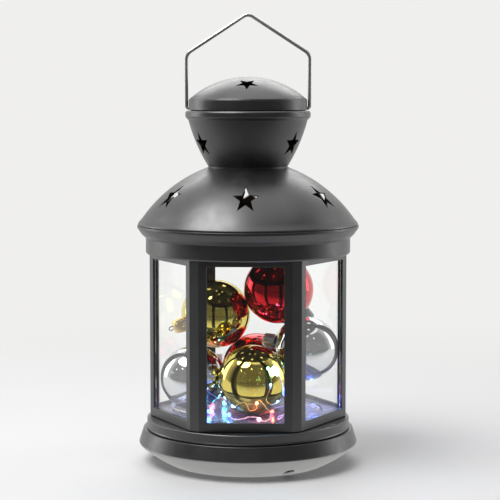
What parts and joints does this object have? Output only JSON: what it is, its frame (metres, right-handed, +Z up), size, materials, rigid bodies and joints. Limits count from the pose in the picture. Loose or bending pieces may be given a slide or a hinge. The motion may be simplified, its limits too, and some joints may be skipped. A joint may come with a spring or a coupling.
{
  "type": "decorative led lantern",
  "caption": "Hexagonal glazed lantern with star-pierced domed roof, wire handle and twist-off base, filled with mirror baubles and an LED light string.",
  "frame": {"origin": "centre of the foot ring, on the surface the lantern stands on", "axes": "+Z up along the lantern's axis, -Y out through the front window, +X to the right seen from the front"},
  "size_m": [0.1204, 0.1204, 0.2437],
  "materials": {
    "black_paint": "satin powder coat",
    "floor_steel": "satin pale steel",
    "rivet_steel": "zinc plated",
    "window_glass": "clear",
    "handle_steel": "bright drawn wire",
    "gold_mirror": "mirror gold",
    "red_mirror": "mirror red",
    "silver_mirror": "mirror silver",
    "gold_crown": "bright stamped",
    "silver_crown": "bright stamped",
    "dark_crown": "dark stamped",
    "eye_wire": "bright wire",
    "box_plastic": "moulded",
    "cell_steel": "satin nickel",
    "contact_steel": "nickel plated",
    "switch_plastic": "moulded",
    "led_wire": "lacquered fine wire",
    "led_resin": "clear resin"
  },
  "bodies": {
    "base": {"base_dish": "black_paint", "floor_drum": "floor_steel", "base_rivet_1": "rivet_steel", "base_rivet_2": "rivet_steel", "base_rivet_3": "rivet_steel"},
    "housing": {"lower_ring": "black_paint", "sill_plate": "floor_steel", "window_panel_1": "black_paint", "glass_pane_1": "window_glass", "window_panel_2": "black_paint", "glass_pane_2": "window_glass", "window_panel_3": "black_paint", "glass_pane_3": "window_glass", "window_panel_4": "black_paint", "glass_pane_4": "window_glass", "window_panel_5": "black_paint", "glass_pane_5": "window_glass", "window_panel_6": "black_paint", "glass_pane_6": "window_glass", "upper_collar": "black_paint", "dome": "black_paint", "neck_cup": "black_paint", "vent_cap": "black_paint", "gold_bauble_front_ball": "gold_mirror", "gold_bauble_front_crown": "gold_crown", "gold_bauble_front_eye": "eye_wire", "gold_bauble_upper_ball": "gold_mirror", "gold_bauble_upper_crown": "gold_crown", "gold_bauble_upper_eye": "eye_wire", "red_bauble_upper_ball": "red_mirror", "red_bauble_upper_crown": "dark_crown", "red_bauble_upper_eye": "eye_wire", "red_bauble_back_ball": "red_mirror", "red_bauble_back_crown": "dark_crown", "red_bauble_back_eye": "eye_wire", "silver_bauble_left_ball": "silver_mirror", "silver_bauble_left_crown": "silver_crown", "silver_bauble_left_eye": "eye_wire", "silver_bauble_right_ball": "silver_mirror", "silver_bauble_right_crown": "silver_crown", "silver_bauble_right_eye": "eye_wire", "battery_box": "box_plastic", "battery_cell_1": "cell_steel", "battery_cell_2": "cell_steel", "contact_plate": "contact_steel", "contact_spring": "contact_steel", "led_wire": "led_wire", "led_bead_1": "led_resin", "led_bead_2": "led_resin", "led_bead_3": "led_resin", "led_bead_4": "led_resin", "led_bead_5": "led_resin", "led_bead_6": "led_resin", "led_bead_7": "led_resin", "led_bead_8": "led_resin", "led_bead_9": "led_resin", "led_bead_10": "led_resin"},
    "handle": {"handle": "handle_steel"},
    "battery_door": {"battery_door": "box_plastic"},
    "battery_switch": {"battery_switch": "switch_plastic"}
  },
  "joints": [
    {"name": "housing_twist", "type": "hinge", "parent": "base", "child": "housing", "pos_m": [0, 0, 0.0193], "axis": [0, 0, 1], "range_deg": [0, 20]},
    {"name": "handle_swing", "type": "hinge", "parent": "housing", "child": "handle", "pos_m": [0, 0, 0.19295], "axis": [1, 0, 0], "range_deg": [-90, 90]},
    {"name": "battery_door_slide", "type": "slide", "parent": "housing", "child": "battery_door", "axis": [0, 0, 1], "range_m": [0, 0.005]},
    {"name": "battery_switch_slide", "type": "slide", "parent": "housing", "child": "battery_switch", "axis": [0.5, 0.866, 0], "range_m": [0, 0.0025]}
  ]
}
